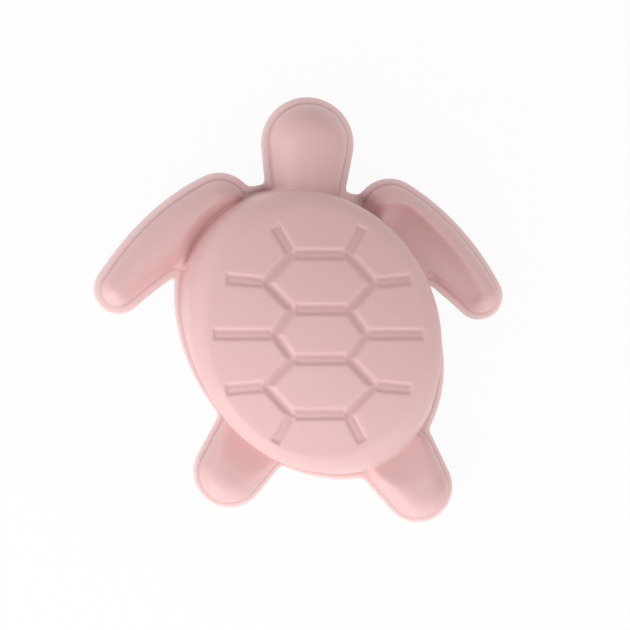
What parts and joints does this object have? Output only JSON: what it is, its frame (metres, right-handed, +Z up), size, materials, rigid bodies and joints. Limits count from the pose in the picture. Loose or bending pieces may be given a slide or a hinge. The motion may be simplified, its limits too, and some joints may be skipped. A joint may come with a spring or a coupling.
{
  "type": "sand mould",
  "caption": "Soft turtle-shaped sand mould, open underneath, with a domed grooved carapace, hollow head and flippers and a flat rim to press onto the sand.",
  "frame": {"origin": "on the surface that the open rim lies on, under the middle of the outline's box", "axes": "+Z up out of the carapace, +Y towards the head, +X to the turtle's right"},
  "size_m": [0.137, 0.142, 0.032],
  "materials": {
    "silicone": "matte, slightly satin silicone"
  },
  "bodies": {
    "root": {"rim": "silicone", "carapace": "silicone", "head": "silicone", "front_left_flipper": "silicone", "front_right_flipper": "silicone", "rear_left_flipper": "silicone", "rear_right_flipper": "silicone"}
  },
  "joints": []
}
